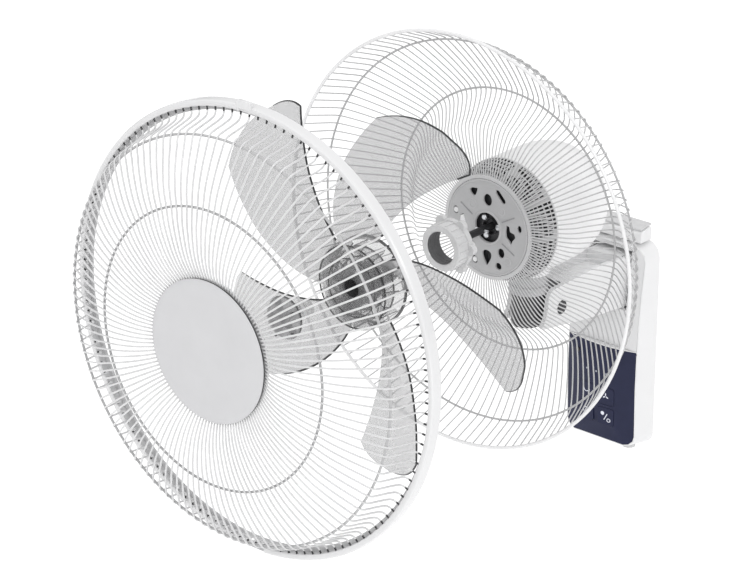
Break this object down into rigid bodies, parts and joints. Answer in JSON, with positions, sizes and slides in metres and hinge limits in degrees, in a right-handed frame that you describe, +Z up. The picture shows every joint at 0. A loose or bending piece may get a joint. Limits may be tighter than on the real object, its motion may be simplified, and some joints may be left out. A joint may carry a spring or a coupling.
{
  "type": "wall mounted fan",
  "caption": "Oscillating wall fan shown taken apart along its shaft: wall box with arm and buttons, motor head with rear guard, ring nut, blade wheel, spinner and front guard.",
  "frame": {"origin": "middle of the wall plate's back face, on the wall", "axes": "+Z up, the fan faces -Y, +X to the right seen from the front; the wall is the plane Y = 0"},
  "size_m": [0.462, 0.6605, 0.5604],
  "materials": {
    "white_plastic": "fine satin moulding",
    "gloss_white": "glossy",
    "pale_plastic": "satin",
    "grey_plastic": "satin",
    "navy_plastic": "smooth, faintly glossy",
    "dark_window": "polished, infrared pass",
    "circuit_board": "solder mask",
    "zinc_steel": "zinc plated",
    "dark_steel": "blackened, oiled",
    "black_rubber": "matte",
    "black_plastic": "matte",
    "cast_aluminium": "die cast, powder coated light grey",
    "core_iron": "laminated sheet",
    "copper_wire": "lacquered winding",
    "bearing_bronze": "machined",
    "painted_plate": "powder coat",
    "coated_wire": "powder coated wire",
    "smoke_plastic": "translucent grey styrene"
  },
  "bodies": {
    "wall_unit": {"box_shell": "white_plastic", "front_plate": "grey_plastic", "control_panel": "navy_plastic", "receiver_window": "dark_window", "control_board": "circuit_board", "board_screw_left": "zinc_steel", "board_screw_right": "zinc_steel", "wall_plate": "zinc_steel", "top_hanger": "pale_plastic", "hanger_pad": "black_rubber", "cable_gland": "black_rubber", "arm": "pale_plastic", "arm_screw_1": "zinc_steel", "arm_screw_2": "zinc_steel", "arm_screw_3": "zinc_steel", "arm_screw_4": "zinc_steel", "tilt_bolt": "dark_steel", "tilt_nut": "zinc_steel"},
    "power_key": {"power_button": "navy_plastic"},
    "speed_key": {"speed_button": "navy_plastic"},
    "swing_key": {"swing_button": "navy_plastic"},
    "timer_key": {"timer_button": "navy_plastic"},
    "tilt_base": {"tilt_knuckle": "pale_plastic", "swing_pin": "dark_steel", "tilt_washer_right": "black_rubber", "tilt_washer_left": "black_rubber"},
    "head": {"motor_frame": "cast_aluminium", "motor_front_shell": "grey_plastic", "rear_cover": "white_plastic", "cover_screw": "zinc_steel", "stator_core": "core_iron", "winding_front": "copper_wire", "winding_rear": "copper_wire", "front_bearing": "bearing_bronze", "rear_bearing": "bearing_bronze", "start_capacitor": "black_plastic", "gearbox": "white_plastic", "guard_plate": "painted_plate", "rear_guard": "coated_wire"},
    "rotor": {"rotor_core": "core_iron", "shaft": "dark_steel", "drive_pin": "zinc_steel", "worm": "bearing_bronze"},
    "crank": {"swing_gear": "bearing_bronze"},
    "link": {"swing_link": "zinc_steel"},
    "nut": {"guard_nut": "pale_plastic"},
    "wheel": {"blade_wheel": "smoke_plastic"},
    "spinner_body": {"spinner": "smoke_plastic"},
    "front_guard_body": {"front_guard": "coated_wire", "front_rim": "gloss_white", "badge_disc": "grey_plastic", "badge_back": "white_plastic", "badge_screw": "zinc_steel", "top_catch": "gloss_white", "latch_pin": "zinc_steel"},
    "latch_body": {"guard_latch": "grey_plastic"}
  },
  "joints": [
    {"name": "head_tilt", "type": "hinge", "parent": "wall_unit", "child": "tilt_base", "pos_m": [0, -0.1415, 0.083], "axis": [1, 0, 0], "range_deg": [-10, 30]},
    {"name": "oscillation", "type": "hinge", "parent": "tilt_base", "child": "head", "pos_m": [0, -0.166, 0.15], "axis": [0, 0, 1], "range_deg": [-40, 40]},
    {"name": "link_swing", "type": "hinge", "parent": "tilt_base", "child": "link", "pos_m": [0.011, -0.166, 0.158], "axis": [0, 0, 1], "range_deg": [-40, 40]},
    {"name": "motor_spin", "type": "hinge", "parent": "head", "child": "rotor", "pos_m": [0, -0.2, 0.196], "axis": [0, 1, 0], "continuous": true},
    {"name": "crank_spin", "type": "hinge", "parent": "head", "child": "crank", "pos_m": [0.0186, -0.133, 0.196], "axis": [0, 0, 1], "continuous": true},
    {"name": "front_guard_pull", "type": "slide", "parent": "head", "child": "front_guard_body", "axis": [0, 1, 0], "range_m": [0, 0.297]},
    {"name": "nut_pull", "type": "slide", "parent": "head", "child": "nut", "axis": [0, 1, 0], "range_m": [0, 0.055]},
    {"name": "wheel_pull", "type": "slide", "parent": "rotor", "child": "wheel", "axis": [0, 1, 0], "range_m": [0, 0.15]},
    {"name": "spinner_pull", "type": "slide", "parent": "rotor", "child": "spinner_body", "axis": [0, 1, 0], "range_m": [0, 0.2465]},
    {"name": "latch", "type": "hinge", "parent": "front_guard_body", "child": "latch_body", "pos_m": [0, -0.5934, -0.0336], "axis": [1, 0, 0], "range_deg": [0, 38]},
    {"name": "power_press", "type": "slide", "parent": "wall_unit", "child": "power_key", "axis": [0, 1, 0], "range_m": [0, 0.0007], "stiffness_N_per_m": 600, "springref_m": -0.0005},
    {"name": "speed_press", "type": "slide", "parent": "wall_unit", "child": "speed_key", "axis": [0, 1, 0], "range_m": [0, 0.0007], "stiffness_N_per_m": 600, "springref_m": -0.0005},
    {"name": "swing_press", "type": "slide", "parent": "wall_unit", "child": "swing_key", "axis": [0, 1, 0], "range_m": [0, 0.0007], "stiffness_N_per_m": 600, "springref_m": -0.0005},
    {"name": "timer_press", "type": "slide", "parent": "wall_unit", "child": "timer_key", "axis": [0, 1, 0], "range_m": [0, 0.0007], "stiffness_N_per_m": 600, "springref_m": -0.0005}
  ],
  "couplings": [
    {"joint": "link_swing", "follows": "oscillation", "ratio": 1},
    {"joint": "crank_spin", "follows": "motor_spin", "ratio": 0.005},
    {"joint": "nut_pull", "follows": "front_guard_pull", "ratio": 0.18519},
    {"joint": "wheel_pull", "follows": "front_guard_pull", "ratio": 0.50505},
    {"joint": "spinner_pull", "follows": "front_guard_pull", "ratio": 0.82997}
  ]
}
